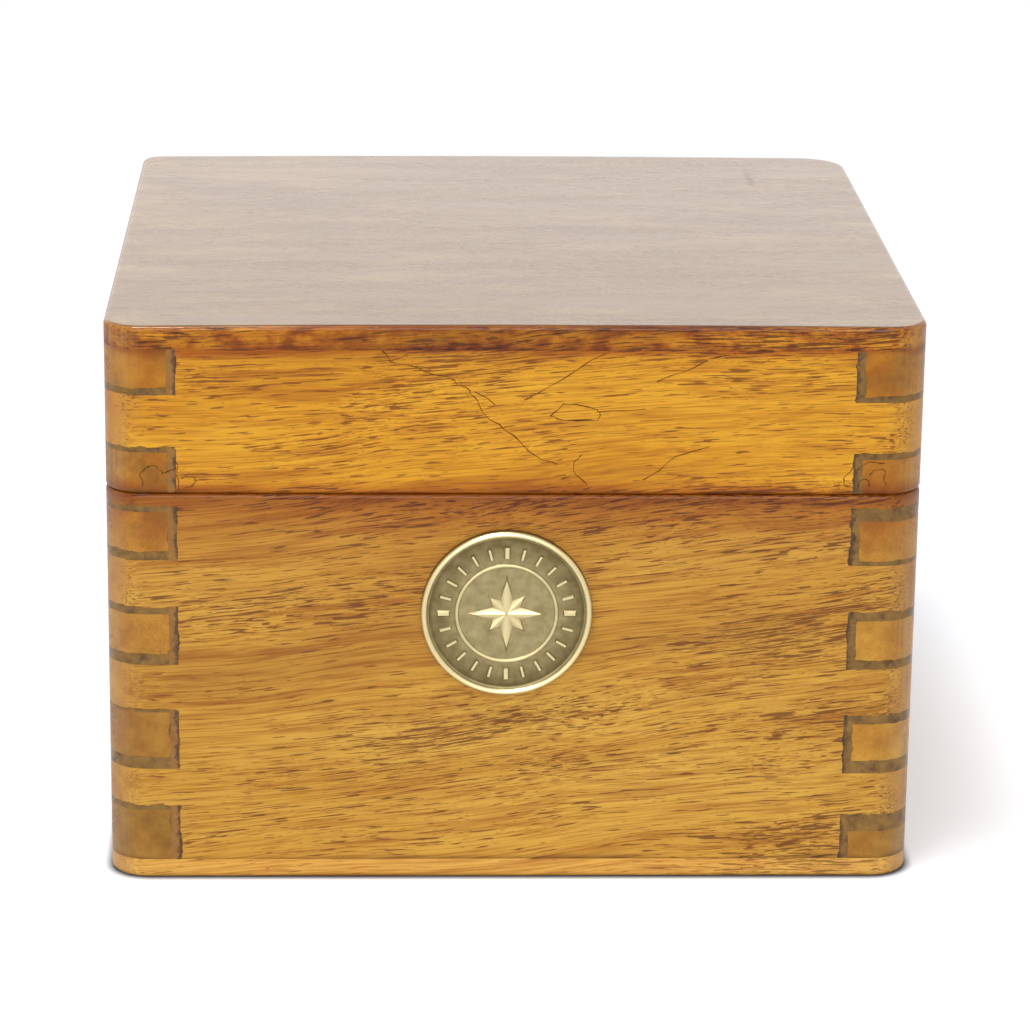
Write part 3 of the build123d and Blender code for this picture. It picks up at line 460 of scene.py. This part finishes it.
# Medallion: a struck brass disc with a raised round rim, a compass star and a ring of ticks, glued
# to the front board. Its low places are darkened, partly olive patina and partly painted shade, and
# the relief was rubbed bright.
medallion_low, medallion_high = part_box("front_medallion")
MEDALLION_CENTRE = (medallion_low + medallion_high) / 2
MEDALLION_RADIUS = (medallion_high.x - medallion_low.x) / 2
MEDALLION_BACK = medallion_high.y
MEDALLION_THICK = medallion_high.y - medallion_low.y
FIELD_HEIGHT, SINK = 0.0011, 0.0001
RIM_PROFILE_MM = [(0.0, 0.0), (0.0, 1.15), (0.1, 1.5), (0.3, 1.72), (0.6, 1.8), (0.9, 1.72), (1.1, 1.5),
                  (1.25, 1.16), (1.6, 0.96), (2.2, 1.0), (6.2, 1.08), (6.35, 1.3), (6.6, 1.36), (6.85, 1.3),
                  (7.0, 1.1)]
STAR_LONG, STAR_SHORT, STAR_HALF, STAR_RIDGE = 0.0078, 0.0052, 0.0015, 0.82
STAR_RISE = 0.0006
STAR_SHORT_RISE = STAR_RISE * 0.8
TICK_RADIUS, TICK_LENGTH, TICK_WIDTH, TICK_RISE, TICK_COUNT = 0.01165, 0.0024, 0.0008, 0.00045, 24
WIDE_TICK, WIDE_TICK_STEP = 1.7, 6
CREST_WIDTH, CREST_LENGTH = 0.5, 0.85
SPIN_STEPS = 96


def to_mesh(form, name, smooth=True):
    """Closes a bmesh form: merges doubles, turns faces outwards and makes it a mesh."""
    bmesh.ops.remove_doubles(form, verts=form.verts, dist=1e-7)
    bmesh.ops.recalc_face_normals(form, faces=form.faces)
    for face in form.faces:
        face.smooth = smooth
    mesh = bpy.data.meshes.new(name)
    form.to_mesh(mesh)
    form.free()
    return mesh


def spun(form, profile, steps=SPIN_STEPS):
    """Turns a half profile of (radius, height) points, in metres, round the upright axis."""
    points = [form.verts.new((r, 0, h)) for r, h in profile]
    edges = [form.edges.new(pair) for pair in zip(points, points[1:])]
    bmesh.ops.spin(form, geom=points + edges, cent=(0, 0, 0), axis=(0, 0, 1), angle=2 * pi, steps=steps,
                   use_merge=True)


def raised(form, outline, ridge, foot, rise, turn):
    """A faceted form on a level foot: its outline, joined to a ridge above it, turned round the axis."""
    corners = [form.verts.new((x, y, foot)) for x, y in outline]
    corners += [form.verts.new((x, y, foot + rise)) for x, y in ridge]
    bmesh.ops.convex_hull(form, input=corners)
    bmesh.ops.rotate(form, verts=corners, cent=(0, 0, 0), matrix=Matrix.Rotation(turn, 3, "Z"))


medallion_form = bmesh.new()
rim_profile = [(MEDALLION_RADIUS - inset / MM, height / MM) for inset, height in RIM_PROFILE_MM]
spun(medallion_form, [(0.0, 0.0)] + rim_profile + [(0.0, FIELD_HEIGHT)])
for n in range(8):
    reach, rise = (STAR_SHORT, STAR_SHORT_RISE) if n % 2 else (STAR_LONG, STAR_RISE)
    point = [(0, 0), (STAR_HALF, STAR_HALF), (0, reach), (-STAR_HALF, STAR_HALF)]
    ridge = [(0, SINK), (0, reach * STAR_RIDGE)]
    raised(medallion_form, point, ridge, FIELD_HEIGHT - SINK, rise, n * pi / 4)
for n in range(TICK_COUNT):
    low, high, half = TICK_RADIUS - TICK_LENGTH / 2, TICK_RADIUS + TICK_LENGTH / 2, TICK_WIDTH / 2
    if n % WIDE_TICK_STEP == 0:
        half = half * WIDE_TICK
    tick = [(-half, low), (half, low), (half, high), (-half, high)]
    crest = [(x * CREST_WIDTH, TICK_RADIUS + (y - TICK_RADIUS) * CREST_LENGTH) for x, y in tick]
    raised(medallion_form, tick, crest, FIELD_HEIGHT - SINK, TICK_RISE, n * 2 * pi / TICK_COUNT)
on_front = Matrix.Translation((MEDALLION_CENTRE.x, MEDALLION_BACK, MEDALLION_CENTRE.z))
faced_out = on_front @ Matrix.Rotation(pi / 2, 4, "X")
bmesh.ops.transform(medallion_form, matrix=faced_out, verts=medallion_form.verts)
medallion_mesh = to_mesh(medallion_form, "medallion", smooth=False)

# The height of each place, as a share of the thickness, picks its tone and how dull it is; the
# lowest places, the groove inside the rim and the field near it, are darkest: patina and painted shade
PATINA = 0.06
brass_material, brass_tree = start_material("aged_and_shaded_struck_brass")
brass_mm = place_in_mm(brass_tree)
brass_height = add(brass_tree, "SeparateXYZ", [brass_mm])["Y"]
brass_faces = {"From Min": MEDALLION_BACK * MM, "From Max": MEDALLION_BACK * MM - MEDALLION_THICK * MM}
brass_height = add(brass_tree, "MapRange", {"Value": brass_height} | brass_faces)[0]
patina = grain_noise(brass_tree, brass_mm, 0.5, detail=4.0, rough=0.6)["Fac"]
patina = add(brass_tree, "MapRange", {"Value": patina, "To Min": -PATINA, "To Max": PATINA})[0]
relief_level = add(brass_tree, "Math", [brass_height, patina], operation="ADD")[0]
patina_and_shade_tones = [(0.54, "#655838"), (0.6, "#8c7f5a"), (0.66, "#ab9c74"), (0.82, "#d4c494")]
brass_tone = add(brass_tree, "ValToRGB", [relief_level], patina_and_shade_tones)[0]
brass_dull = add(brass_tree, "ValToRGB", [relief_level], [(0.6, 0.55), (0.85, 0.34)])[0]
grit = grain_noise(brass_tree, brass_mm, 2.5, detail=3.0)["Fac"]
brass_bump = add(brass_tree, "Bump", {"Strength": 0.25, "Distance": 0.00005, "Height": grit})[0]
brass_inputs = {"Base Color": brass_tone, "Metallic": 1.0, "Roughness": brass_dull, "Normal": brass_bump}
finish_material(brass_material, brass_inputs)
medallion = keep("struck_medallion", "base", brass_material, medallion_mesh)
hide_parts("front_medallion")

# Hinges, brackets, ring and bowl fittings: cast and turned brass, rubbed to a satin shine and
# gone a little brown in soft clouds. Screws and pins are turned steel and brass.
TARNISH_DULL = 0.12


def satin_metal(name, light, dull, roughness, grain_mm):
    """Rubbed metal with clouds of duller tarnish, four grains wide, and level rubbing marks, half a
    grain long. Grain is in millimetres."""
    material, tree = start_material(name)
    place = place_in_mm(tree)
    clouds = grain_noise(tree, place, 0.25 / grain_mm, detail=5.0, rough=0.6)["Fac"]
    colour = add(tree, "ValToRGB", [clouds], [(0.38, dull), (0.56, light)])[0]
    shine = {"Value": clouds, "From Min": 0.35, "From Max": 0.6}
    shine |= {"To Min": roughness + TARNISH_DULL, "To Max": roughness}
    shine = add(tree, "MapRange", shine)[0]
    rubbed = grain_noise(tree, place, 2.0 / grain_mm, (1, 1, 6))["Fac"]
    bump = add(tree, "Bump", {"Strength": 0.12, "Distance": 0.00003, "Height": rubbed})[0]
    inputs = {"Base Color": colour, "Metallic": 1.0, "Roughness": shine, "Normal": bump}
    return finish_material(material, inputs)


# The hinges are darker than the polished ring and bezel, and the cast brackets shine least. Small
# screws and pins have finer marks.
leaf_brass = satin_metal("rubbed_hinge_brass", "#d9bd78", "#bd9c5c", 0.3, 3.0)
ring_brass = satin_metal("turned_gimbal_brass", "#e2c27a", "#d0ad66", 0.32, 3.0)
bracket_brass = satin_metal("cast_bracket_brass", "#d6b46a", "#b8934f", 0.36, 2.0)
bezel_brass = satin_metal("polished_bezel_brass", "#e8ca84", "#d8b76e", 0.3, 3.0)
screw_brass = satin_metal("turned_screw_brass", "#dcc184", "#ad8c50", 0.3, 0.6)
turned_steel = satin_metal("turned_bright_steel", "#c9c9c6", "#96948f", 0.25, 0.6)
dress(leaf_brass, "left_hinge_base_leaf", "right_hinge_base_leaf", "left_hinge_lid_leaf",
      "right_hinge_lid_leaf")
dress(turned_steel, "left_hinge_pin", "right_hinge_pin", "gimbal_ring_pivots", "bowl_pivot_screws",
      "weight_screw", "pivot_needle")
dress(screw_brass, "base_hinge_screws", "lid_hinge_screws", "gimbal_bracket_screws", "bezel_screws",
      "card_cap")
dress(bracket_brass, "left_gimbal_bracket", "right_gimbal_bracket", "card_pedestal")
dress(ring_brass, "gimbal_ring")
dress(bezel_brass, "bowl_bezel")

# Bowl: spun brass, satin outside, and painted white inside so that the card and the lubber line
# read clearly. The white paint starts at the inner wall.
BOWL_INSIDE_MM = 38.2
BOWL_FLOOR_MM = 26.9
bowl_material, bowl_tree = start_material("spun_bowl_brass_painted_inside")
bowl_mm = place_in_mm(bowl_tree)
bowl_parts = add(bowl_tree, "SeparateXYZ", [bowl_mm])
bowl_flat = add(bowl_tree, "CombineXYZ", [bowl_parts["X"], bowl_parts["Y"]])[0]
bowl_reach = add(bowl_tree, "VectorMath", [bowl_flat], operation="LENGTH")["Value"]
inner = add(bowl_tree, "Math", [bowl_reach, BOWL_INSIDE_MM], operation="LESS_THAN")[0]
above = add(bowl_tree, "Math", [bowl_parts["Z"], BOWL_FLOOR_MM], operation="GREATER_THAN")[0]
painted = add(bowl_tree, "Math", [inner, above], operation="MULTIPLY")[0]
bowl_clouds = grain_noise(bowl_tree, bowl_mm, 0.15, detail=5.0, rough=0.6)["Fac"]
bowl_tone = add(bowl_tree, "ValToRGB", [bowl_clouds], [(0.38, "#a5813f"), (0.58, "#d8b566")])[0]
bowl_tone = add(bowl_tree, "Mix", {0: painted, 6: bowl_tone, 7: "#e9e6da"}, **LAID_ON)[2]
bare = add(bowl_tree, "Math", [1.0, painted], operation="SUBTRACT")[0]
bowl_dull = add(bowl_tree, "ValToRGB", [painted], [(0.0, 0.3), (1.0, 0.5)])[0]
finish_material(bowl_material, {"Base Color": bowl_tone, "Metallic": bare, "Roughness": bowl_dull})
dress(bowl_material, "compass_bowl")

# Glass: a ground flat disc under the bezel. It shows the card clearly, and reflects more the lower
# the angle that it is seen at.
glass_material, glass_tree = start_material("clear_flat_glass")
edge_on = add(glass_tree, "LayerWeight", {"Blend": 0.08})["Facing"]
clear = add(glass_tree, "BsdfTransparent", {"Color": "#fdfdfb"})[0]
mirror = add(glass_tree, "BsdfGlossy", {"Color": "#ffffff", "Roughness": 0.02})[0]
finish_material(glass_material, [edge_on, clear, mirror], kind="MixShader")
dress(glass_material, "bowl_glass")

# Gasket, weight, magnets and lubber line: a moulded ring of dull black rubber under the glass, a cast
# iron disc painted black under the bowl, two ground bar magnets of grey steel under the card, and a
# line of smooth black enamel on the bowl's wall.


def plain_finish(name, light, dark, grain_mm, roughness, metallic=0.0):
    """Painted, moulded or cast surface with a fine mottle. Grain is its size in millimetres."""
    material, tree = start_material(name)
    mottle = grain_noise(tree, place_in_mm(tree), 1.0 / grain_mm, detail=4.0, rough=0.6)["Fac"]
    colour = add(tree, "ValToRGB", [mottle], [(0.38, dark), (0.6, light)])[0]
    bump = add(tree, "Bump", {"Strength": 0.2, "Distance": 0.00005, "Height": mottle})[0]
    inputs = {"Base Color": colour, "Metallic": metallic, "Roughness": roughness, "Normal": bump}
    return finish_material(material, inputs)


dress(plain_finish("moulded_black_rubber", "#2a2a28", "#1c1c1b", 0.8, 0.6), "glass_gasket")
dress(plain_finish("black_painted_iron", "#33312e", "#22211f", 1.5, 0.45), "bowl_weight")
dress(plain_finish("ground_magnet_steel", "#7d7c7a", "#5f5e5c", 1.0, 0.4, 1.0), "card_magnets")
dress(plain_finish("black_enamel_line", "#1d1c1a", "#151413", 1.0, 0.4), "lubber_line")

# Card: a disc of pressed card with a matt ivory paper face, printed in black and blue with a ring
# of degrees, an eight-point rose and the four main points.
dress(plain_finish("printed_ivory_paper", "#efe6cf", "#e6dabd", 2.5, 0.75), "compass_card")
CARD_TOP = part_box("compass_card")[1].z
INK = 0.00005
INK_RINGS = [(0.0338, 0.0341), (0.0305, 0.0308), (0.0218, 0.0220), (0.0208, 0.0209)]
DEGREE_STEP, LONG_STEP, NUMBER_STEP = 5, 10, 30
TICK_IN, TICK_MIDDLE, TICK_OUT = 0.0308, 0.0322, 0.0338
TICK_HALF, LONG_TICK_HALF = 0.0001, 0.00016
NUMBER_REACH, NUMBER_SIZE = 0.0276, 0.0031
POINT_REACH, POINT_SIZE = 0.0262, 0.0050
# Reach and half width of the rose's long and short points, where they start and are widest, and the
# line that outlines one half of each
ROSE_LONG, ROSE_SHORT = (0.0205, 0.00238), (0.0135, 0.001785)
ROSE_HUB, ROSE_WAIST, ROSE_LINE_FOOT = 0.0046, 0.0054, 0.0056
ROSE_LINE, ROSE_LINE_TIP, ROSE_LINE_REACH = 0.00025, 0.0001, 0.96


def inked(form, outline, turn=0.0):
    """A flat printed shape with the ink's own thickness, turned round the card's middle."""
    corners = [form.verts.new((x, y, CARD_TOP)) for x, y in outline]
    face = form.faces.new(corners)
    grown = bmesh.ops.extrude_face_region(form, geom=[face])["geom"]
    lifted = [v for v in grown if isinstance(v, bmesh.types.BMVert)]
    bmesh.ops.translate(form, verts=lifted, vec=(0, 0, INK))
    bmesh.ops.rotate(form, verts=corners + lifted, cent=(0, 0, 0), matrix=Matrix.Rotation(-turn, 3, "Z"))


def inked_ring(form, inner_radius, outer_radius):
    """A printed circle."""
    profile = [(inner_radius, 0), (outer_radius, 0), (outer_radius, INK), (inner_radius, INK),
               (inner_radius, 0)]
    spun(form, [(r, CARD_TOP + h) for r, h in profile])


def inked_text(form, words, size, reach, turn):
    """Printed figures or letters, upright to a reader at the rim."""
    text = bpy.data.curves.new("words", "FONT")
    text.body = words
    text.size = size
    text.align_x = "CENTER"
    text.align_y = "CENTER"
    text.extrude = INK / 2
    letters = mesh_of(text)
    letters.transform(Matrix.Rotation(-turn, 4, "Z") @ Matrix.Translation((0, reach, CARD_TOP + INK / 2)))
    form.from_mesh(letters)
    bpy.data.meshes.remove(letters)


black_print = bmesh.new()
blue_print = bmesh.new()
for inner_radius, outer_radius in INK_RINGS:
    inked_ring(black_print, inner_radius, outer_radius)
for degree in range(0, 360, DEGREE_STEP):
    start, half = (TICK_MIDDLE, TICK_HALF) if degree % LONG_STEP else (TICK_IN, LONG_TICK_HALF)
    tick = [(-half, start), (half, start), (half, TICK_OUT), (-half, TICK_OUT)]
    inked(black_print, tick, radians(degree))
    if degree % NUMBER_STEP == 0 and degree % 90:
        inked_text(black_print, str(degree), NUMBER_SIZE, NUMBER_REACH, radians(degree))
for letter, degree in (("N", 0), ("E", 90), ("S", 180), ("W", 270)):
    inked_text(black_print, letter, POINT_SIZE, POINT_REACH, radians(degree))
for n in range(8):
    reach, half = ROSE_SHORT if n % 2 else ROSE_LONG
    print_form = blue_print if n % 2 else black_print
    inked(print_form, [(0, ROSE_HUB), (half, ROSE_WAIST), (0, reach)], n * pi / 4)
    outlined = [(0, reach), (-half, ROSE_WAIST), (-half + ROSE_LINE, ROSE_LINE_FOOT),
                (-ROSE_LINE_TIP, reach * ROSE_LINE_REACH)]
    inked(print_form, outlined, n * pi / 4)
black_ink = plain_finish("black_printing_ink", "#1f1d1b", "#2b2926", 1.2, 0.6)
blue_ink = plain_finish("blue_printing_ink", "#28466b", "#1f3a5c", 1.2, 0.6)
black_mesh = to_mesh(black_print, "card_print_black", smooth=False)
blue_mesh = to_mesh(blue_print, "card_print_blue", smooth=False)
keep("card_print_black", "card", black_ink, black_mesh)
keep("card_print_blue", "card", blue_ink, blue_mesh)

# Stage: a seamless white sweep under and behind the box, which shows white wherever no shadow
# falls on it, and white to metal and glass as well. Right at the box's foot its colour and glow
# are darkened to grey by ambient occlusion: a painted contact shadow.
FLOOR_SIZE = 6.0
FLOOR_OWN_LIGHT = 0.355
SWEEP_START, SWEEP_END = 0.3, 0.9
# How close to the foot the painted contact shadow reaches, and the occlusion levels it fades over
PAINTED_SHADOW_REACH, PAINTED_SHADOW_LEVELS = 0.0024, (0.52, 0.95)
SKY_FILL = 0.35


def seen_directly(tree):
    """1 for the camera and for what metal and glass reflect or show, else 0."""
    rays = add(tree, "LightPath")
    seen = add(tree, "Math", [rays["Is Camera Ray"], rays["Is Glossy Ray"]], operation="MAXIMUM")[0]
    return add(tree, "Math", [seen, rays["Is Transmission Ray"]], operation="MAXIMUM")[0]


floor_form = bmesh.new()
bmesh.ops.create_grid(floor_form, x_segments=1, y_segments=1, size=FLOOR_SIZE)
floor_mesh = to_mesh(floor_form, "floor")
floor = bpy.data.objects.new("floor", floor_mesh)
bpy.context.scene.collection.objects.link(floor)
floor_material, floor_tree = start_material("white_paper_sweep")
floor_place = add(floor_tree, "TexCoord")["Object"]
floor_reach = add(floor_tree, "VectorMath", [floor_place], operation="LENGTH")["Value"]
far_floor = {"Value": floor_reach, "From Min": SWEEP_START, "From Max": SWEEP_END}
far_floor = add(floor_tree, "MapRange", far_floor)[0]
# Painted contact shadow: grey paper and less glow where ambient occlusion finds the box close by
clear_of_painted_shadow = add(floor_tree, "AmbientOcclusion", {"Distance": PAINTED_SHADOW_REACH})["AO"]
clear_of_painted_shadow = {"Value": clear_of_painted_shadow, "From Min": PAINTED_SHADOW_LEVELS[0], "From Max": PAINTED_SHADOW_LEVELS[1]}
clear_of_painted_shadow = add(floor_tree, "MapRange", clear_of_painted_shadow)[0]
glow_less_painted_shadow = add(floor_tree, "Math", [FLOOR_OWN_LIGHT, clear_of_painted_shadow], operation="MULTIPLY")[0]
glow_less_painted_shadow = add(floor_tree, "MapRange", {"Value": far_floor, "To Min": glow_less_painted_shadow, "To Max": 1.0})[0]
glow_less_painted_shadow = add(floor_tree, "Math", [glow_less_painted_shadow, seen_directly(floor_tree)], operation="MULTIPLY")[0]
paper_and_painted_shadow_tone = add(floor_tree, "Mix", {0: clear_of_painted_shadow, 6: "#878b92", 7: "#f6f7fb"}, **LAID_ON)[2]
paper_and_painted_shadow_tone = add(floor_tree, "Mix", {0: far_floor, 6: paper_and_painted_shadow_tone, 7: "#000000"}, **LAID_ON)[2]
paper = add(floor_tree, "BsdfDiffuse", {"Color": paper_and_painted_shadow_tone})[0]
glow = add(floor_tree, "Emission", {"Strength": glow_less_painted_shadow})[0]
finish_material(floor_material, [paper, glow], kind="AddShader")
floor_mesh.materials.append(floor_material)

world = bpy.data.worlds.new("studio")
bpy.context.scene.world = world
world.use_nodes = True
sky = world.node_tree
sky.nodes.clear()
sky_level = add(sky, "MapRange", {"Value": seen_directly(sky), "To Min": SKY_FILL, "To Max": 1.0})[0]
sky_tone = add(sky, "Mix", {0: seen_directly(sky), 6: "#f2f7ff", 7: "#ffffff"}, **LAID_ON)[2]
add(sky, "OutputWorld", [add(sky, "Background", [sky_tone, sky_level])[0]])

# Studio lights: a soft lamp high at the front left, a wide panel behind the camera, a low wide panel
# behind the box that lays the pale sheen on its varnished top, and a weak panel at each side.


def panel(name, place, target, width, height, power, colour="#ffffff"):
    """Soft rectangular light that faces a point."""
    light = bpy.data.lights.new(name, "AREA")
    light.shape = "RECTANGLE"
    light.size = width
    light.size_y = height
    light.energy = power
    light.color = linear(colour)[:3]
    lamp = bpy.data.objects.new(name, light)
    bpy.context.scene.collection.objects.link(lamp)
    lamp.location = place
    lamp.rotation_euler = (Vector(target) - Vector(place)).to_track_quat("-Z", "Y").to_euler()
    lamp.visible_camera = False


panel("key", (-0.34, -0.42, 1.75), (0, 0, 0.05), 0.45, 0.45, 15.0)
panel("fill", (-0.2, -2.2, 0.85), (0, 0, 0.05), 1.6, 1.2, 25.5)
panel("sheen", (-0.1, 2.2, 0.65), (0, 0, 0.1), 1.8, 0.9, 4.3, "#fcf7ea")
panel("left side", (-2.2, 0.2, 0.9), (0, 0, 0.05), 1.2, 1.2, 1.5)
panel("right side", (2.2, 0.2, 0.9), (0, 0, 0.05), 1.2, 1.2, 3.0)

# Camera: a long lens, a little above the box and left of its middle, where the photograph was
# taken from.
FOCAL_PX = 4073.1
PHOTO_PX = 1030
CAMERA_PLACE = (-0.0278, -0.7878, 0.2866)
YAW, PITCH, ROLL = radians(-2.23), radians(16.81), radians(0.75)
lens = bpy.data.cameras.new("camera")
lens.sensor_fit = "HORIZONTAL"
lens.sensor_width = 36.0
lens.lens = FOCAL_PX / PHOTO_PX * lens.sensor_width
lens.clip_start = 0.01
camera = bpy.data.objects.new("camera", lens)
bpy.context.scene.collection.objects.link(camera)
aim = Matrix.Rotation(YAW, 4, "Z") @ Matrix.Rotation(-PITCH, 4, "X") @ Matrix.Rotation(-ROLL, 4, "Y")
camera.matrix_world = Matrix.Translation(CAMERA_PLACE) @ aim @ Matrix.Rotation(pi / 2, 4, "X")
bpy.context.scene.camera = camera
bpy.context.scene.view_settings.view_transform = "Standard"
